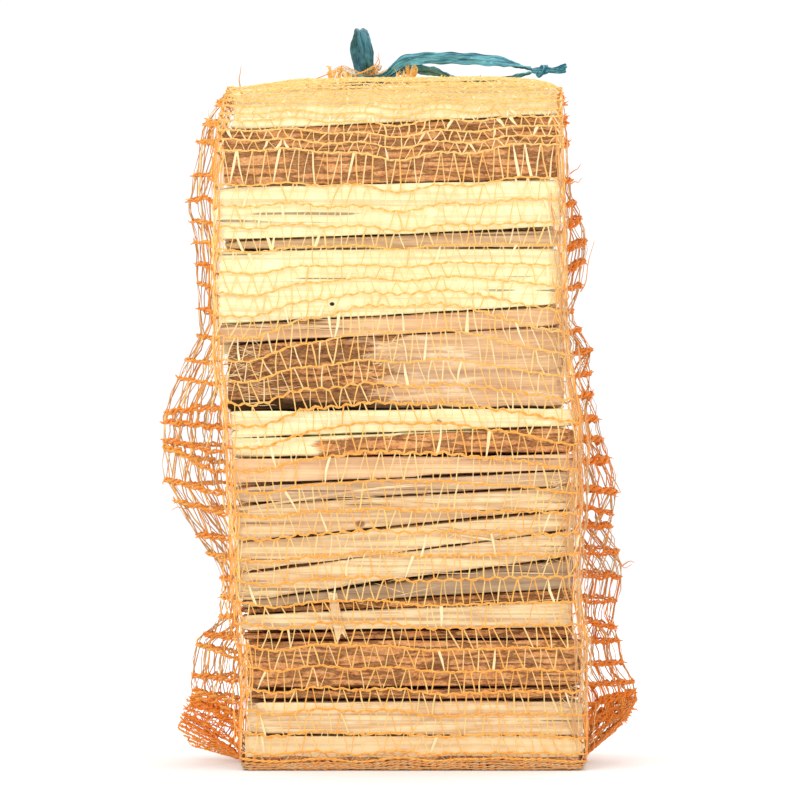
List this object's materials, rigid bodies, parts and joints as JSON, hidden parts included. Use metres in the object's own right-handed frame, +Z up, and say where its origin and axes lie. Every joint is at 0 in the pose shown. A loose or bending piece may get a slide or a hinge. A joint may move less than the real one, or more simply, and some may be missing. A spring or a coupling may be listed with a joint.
{
  "type": "net of kindling",
  "caption": "upright net sack packed with split softwood sticks laid flat on one another, drawn together on top by a flat drawstring with a standing loop and a knotted end",
  "frame": {"origin": "under the middle of the sack, on the surface that it stands on, without the free drawstring", "axes": "+Z up along the height of the stack; X along the sticks; -Y is the front of the stack"},
  "size_m": [0.283, 0.154, 0.4356],
  "materials": {
    "softwood": "rough split",
    "bark": "rough bark",
    "net_yarn": "knitted tape yarn",
    "drawstring_tape": "crumpled satin tape"
  },
  "bodies": {
    "root": {"drawstring_knot": "drawstring_tape", "drawstring_loop": "drawstring_tape", "drawstring_lower_end": "drawstring_tape", "drawstring_upper_end": "drawstring_tape", "drawstring_wrap": "drawstring_tape", "loose_splinter": "softwood", "net_sack": "net_yarn", "stick_back_01": "softwood", "stick_back_02": "softwood", "stick_back_03": "bark", "stick_back_04": "softwood", "stick_back_05": "softwood", "stick_back_06": "softwood", "stick_back_07": "softwood", "stick_back_08": "softwood", "stick_back_09": "bark", "stick_back_10": "softwood", "stick_back_11": "softwood", "stick_back_12": "softwood", "stick_back_13": "softwood", "stick_front_01": "softwood", "stick_front_02": "bark", "stick_front_03": "softwood", "stick_front_04": "softwood", "stick_front_05": "softwood", "stick_front_06": "softwood", "stick_front_07": "bark", "stick_front_08": "softwood", "stick_front_09": "bark", "stick_front_10": "softwood", "stick_front_11": "softwood", "stick_front_12": "softwood", "stick_front_13": "softwood", "stick_front_14": "softwood", "stick_front_15": "softwood", "stick_front_16": "bark", "stick_front_17": "softwood", "stick_front_18": "bark", "stick_front_19": "bark", "stick_front_20": "bark", "stick_front_21": "softwood", "stick_front_22": "softwood", "stick_middle_01": "softwood", "stick_middle_02": "bark", "stick_middle_03": "softwood", "stick_middle_04": "softwood", "stick_middle_05": "softwood", "stick_middle_06": "softwood", "stick_middle_07": "softwood", "stick_middle_08": "bark", "stick_middle_09": "softwood", "stick_middle_10": "softwood", "stick_middle_11": "softwood", "stick_middle_12": "softwood", "stick_middle_13": "softwood", "stick_middle_14": "bark", "stick_middle_15": "softwood", "stick_middle_16": "softwood", "stick_middle_17": "softwood", "stick_middle_18": "softwood"}
  },
  "joints": []
}
